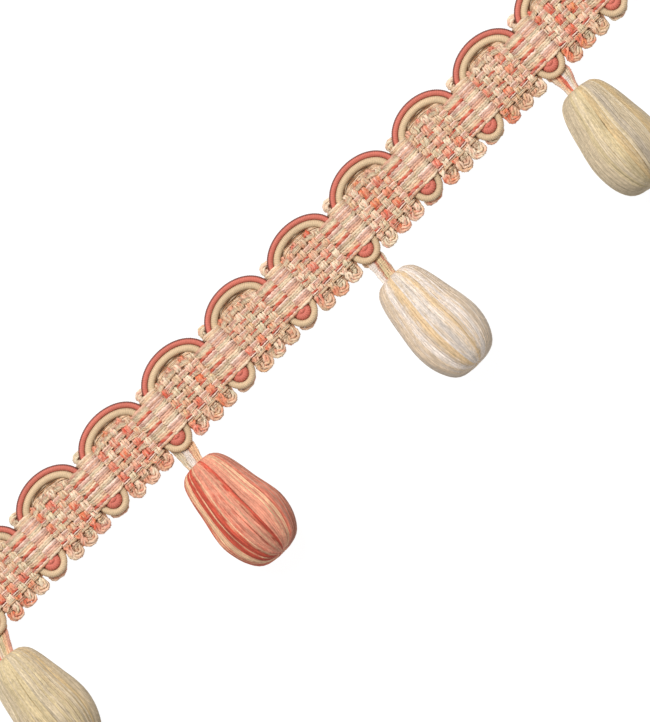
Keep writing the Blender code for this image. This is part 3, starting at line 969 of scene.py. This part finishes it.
def makeDrop(number, row):
    top, right, up, ahead = dropFrame(row)
    slot, paintedFootShade, uneven, bands = row[4:]
    edges = np.array([band[0] for band in bands])
    names = [band[1] for band in bands]
    spacing = np.linspace(0, 1, drops["steps"])
    shares = 0.5 * spacing + 0.5 * (0.5 - 0.5 * np.cos(math.pi * spacing))
    t, radius = profileAt(shares)
    strands = Strands()
    lumps = [(dice.integers(1, 8), dice.uniform(0.2, 1.6), dice.uniform(0, 2 * math.pi), dice.normal())
             for wave in range(9)]
    for k in range(drops["threads"]):
        angle = 2 * math.pi * (k + drops["jitter"] * dice.uniform(-1, 1)) / drops["threads"]
        drift = np.interp(shares, np.linspace(0, 1, 6), dice.normal(0, 0.012, 6))
        turn = angle + drift + drops["spiral"] * np.minimum(t - 12, 0)
        lumpy = sum(size * np.cos(n * turn + pace * t / 4 + phase) for n, pace, phase, size in lumps)
        reach = radius * (1 + drops["lumps"] * lumpy / 3) + dice.uniform(-0.05, 0.05) - drops["inset"]
        points = (top + ahead * t[:, None] + right * (reach * np.sin(turn))[:, None]
                  + up * (reach * np.cos(turn))[:, None])
        points[:, 2] = np.maximum(points[:, 2], drops["radius"])
        mine, other = (
            dye(names[max(0, int(np.searchsorted(edges, math.sin(angle) + dice.normal(0, size))) - 1)])
            for size in (0.035, 0.18)
        )
        tone = 0.92 + dice.normal(0, 0.06) + np.interp(shares, np.linspace(0, 1, 13), dice.normal(0, uneven, 13))
        # Painted shade: each thread darker over the last nine millimetres toward the drop's foot.
        tone -= paintedFootShade * np.clip((t - 18) / 9, 0, 1)
        strands.add(points, mine * tone[:, None], drops["radius"], other * tone[:, None])
    material = yarnMaterial(f"drop_{number}_floss", "floss")
    settings = {"Sides": 6, "Plies": 2.0, "Ply depth": 0.0, "Turns per millimetre": 0.0}
    piece = makePiece(strands, f"drop_{number}_winding", yarns, settings, material)
    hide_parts(f"drop_{number}")
    makeCore(number, row, top, right, up, ahead, material)
    return piece


# The mould under the winding, closed, in the floss's mean colour made darker: painted shade where it shows
# between the threads.
def makeCore(number, row, top, right, up, ahead, material):
    sides = 32
    outline = [(2.2, 0.0)] + [(t, max(r - 0.36, 0.1)) for t, r in dropProfile] + [(26.6, 0.0)]
    rings = []
    for t, r in outline:
        turn = 2 * math.pi * np.arange(sides) / sides
        points = (top + ahead * t + np.outer(r * np.sin(turn), right) + np.outer(r * np.cos(turn), up))
        points[:, 2] = np.maximum(points[:, 2], 0.2)
        rings.append(points)
    mesh = bpy.data.meshes.new(f"drop_{number}_mould")
    faces = []
    for i in range(1, len(rings) - 2):
        for k in range(sides):
            n = (k + 1) % sides
            a, b = (i - 1) * sides + 1, i * sides + 1
            faces.append((a + k, a + n, b + n, b + k))
    last = (len(rings) - 3) * sides + 1
    tip = last + sides
    faces += [(0, 1 + (k + 1) % sides, 1 + k) for k in range(sides)]
    faces += [(tip, last + k, last + (k + 1) % sides) for k in range(sides)]
    points = np.vstack([rings[0][:1]] + rings[1:-1] + [rings[-1][:1]])
    mesh.from_pydata(place(points).tolist(), [], faces)
    mesh.shade_smooth()
    # 0.9: painted shade, the mould darker than the threads' mean colour.
    tone = 0.9 * np.mean([dye(band[1]) for band in row[7]], axis=0)
    for attribute in ("yarnColour", "plyColour"):
        colours = mesh.attributes.new(attribute, "FLOAT_COLOR", "POINT")
        colours.data.foreach_set("color", np.tile((*tone, 1.0), len(points)))
    keepPiece(f"drop_{number}_mould", mesh, material)


# Each hanger is a flat skein of floss that leaves the back of the eye and enters the drop's top.
hanger = {"radius": 0.29, "strands": 22, "layer": 0.26, "twist": 0.07}
skeins = (
    # at the eye: sideways and width, at the drop: sideways and width, strands' dyes by share of the width
    (-1.2, 4.9, 0.5, 3.6, ((0.0, "flossCoral"), (0.16, "flossBeige"), (0.34, "flossStraw"),
                           (0.62, "flossLine"), (0.80, "flossRose"))),
    (-0.75, 5.0, 0.0, 3.8, ((0.0, "flossPearl"), (0.16, "flossBeige"), (0.28, "flossMist"),
                            (0.56, "flossRose"), (0.66, "flossLine"))),
    (-0.1, 4.1, -0.45, 3.8, ((0.0, "flossMist"), (0.30, "flossBrick"), (0.42, "flossStraw"),
                             (0.66, "flossHoney"), (0.86, "flossBrick"), (0.95, "flossBeige"))),
    (0.1, 4.7, -0.65, 2.8, ((0.0, "flossBeige"), (0.20, "flossLine"), (0.32, "flossCoral"),
                            (0.50, "flossMist"), (0.70, "flossBeige"), (0.90, "flossRose"))),
)


def makeHanger(number, row, skein):
    top, right, up, ahead = dropFrame(row)
    eyeShift, eyeWidth, dropShift, dropWidth, bands = skein
    middle = eyes[row[0]] + eyeShift
    edges = [band[0] for band in bands]
    strands = Strands()
    for k in range(hanger["strands"]):
        share = (k + 0.5) / hanger["strands"]
        side = 2 * share - 1
        layer = hanger["layer"] * (k % 2 - 0.5) + dice.normal(0, 0.05)
        atEye = middle + side * eyeWidth / 2
        atDrop = dropShift + side * dropWidth / 2 + dice.normal(0, 0.12)
        crown = math.sqrt(max(0.0, 1 - (atDrop / 2.8) ** 2))
        keys = [
            np.array((atEye, 3.6, 0.62 + layer)),
            np.array((atEye, 1.8, 0.58 + layer)),
            np.array((atEye + 0.1 * side, 0.3, 0.80 + layer)),
            0.5 * (np.array((atEye, 0.0, 1.0)) + top + right * atDrop - ahead * 0.8) + up * layer,
            top + right * atDrop - ahead * 0.7 + up * (layer + 0.5 * crown),
            top + right * atDrop * 0.96 + ahead * 0.3 + up * (layer + 0.9 * crown),
            top + right * atDrop * 0.9 + ahead * 1.6 + up * (layer + 0.5 * crown),
        ]
        line = smoothLine(keys, 5)
        line[:, 2] = np.maximum(line[:, 2], hanger["radius"])
        line[:, 0] += wander(lengthAlong(line), 2.0, hanger["twist"])
        name = bands[int(np.searchsorted(edges, share + dice.normal(0, 0.02), side="right")) - 1][1]
        near = bands[int(np.searchsorted(edges, share + dice.normal(0, 0.1), side="right")) - 1][1]
        tone = 1.0 + dice.normal(0, 0.06)
        strands.add(line, dye(name) * tone, hanger["radius"], dye(near) * tone)
    material = yarnMaterial(f"hanger_{number}_floss", "floss")
    settings = {"Sides": 6, "Plies": 2.0, "Ply depth": 0.1, "Turns per millimetre": 0.5}
    piece = makePiece(strands, f"hanger_{number}_skeins", yarns, settings, material)
    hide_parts(f"hanger_{number}")


warps = makeWarps()
wefts = makeWefts()
bind = makeBinding()
shadeSheetPiece, shadeSheetArea = makeShadeSheet()
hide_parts("heading")
makeCords()
for number, row in enumerate(dropRows, 1):
    makeDrop(number, row)
    makeHanger(number, row, skeins[number - 1])
print("trim made")


studio = {
    "floorSize": 1.6,
    "floorWhite": 0.12,
    "floorGlow": 0.95,
    "skyStrength": 0.44,
    "keyPower": 19.5,
    "keySize": 0.75,
    "keyPlace": (-0.03, 0.78, 1.18),
}


def makeStudio():
    scene = bpy.context.scene
    half = studio["floorSize"] / 2
    mesh = bpy.data.meshes.new("floor")
    mesh.from_pydata([(-half, -half, 0), (half, -half, 0), (half, half, 0), (-half, half, 0)], [],
                     [(0, 1, 2, 3)])
    floor = bpy.data.objects.new("floor", mesh)
    scene.collection.objects.link(floor)
    paper = bpy.data.materials.new("paper")
    paper.use_nodes = True
    shader = paper.node_tree.nodes["Principled BSDF"]
    shader.inputs["Base Color"].default_value = (*[studio["floorWhite"]] * 3, 1)
    shader.inputs["Roughness"].default_value = 1
    shader.inputs["Specular IOR Level"].default_value = 0
    shader.inputs["Emission Color"].default_value = (1, 1, 1, 1)
    shader.inputs["Emission Strength"].default_value = studio["floorGlow"]
    mesh.materials.append(paper)
    sky = bpy.data.worlds.new("sky")
    scene.world = sky
    sky.use_nodes = True
    sky.node_tree.nodes["Background"].inputs["Color"].default_value = (1, 1, 1, 1)
    sky.node_tree.nodes["Background"].inputs["Strength"].default_value = studio["skyStrength"]
    data = bpy.data.lights.new("key", "AREA")
    data.energy = studio["keyPower"]
    data.shape = "DISK"
    data.size = studio["keySize"]
    key = bpy.data.objects.new("key", data)
    scene.collection.objects.link(key)
    key.location = studio["keyPlace"]
    direction = -np.array(studio["keyPlace"])
    direction /= np.linalg.norm(direction)
    key.rotation_euler = (math.acos(-direction[2]), 0, math.atan2(direction[1], direction[0]) - math.pi / 2)
    scene.view_settings.view_transform = "Standard"


makeStudio()
print("studio lit")
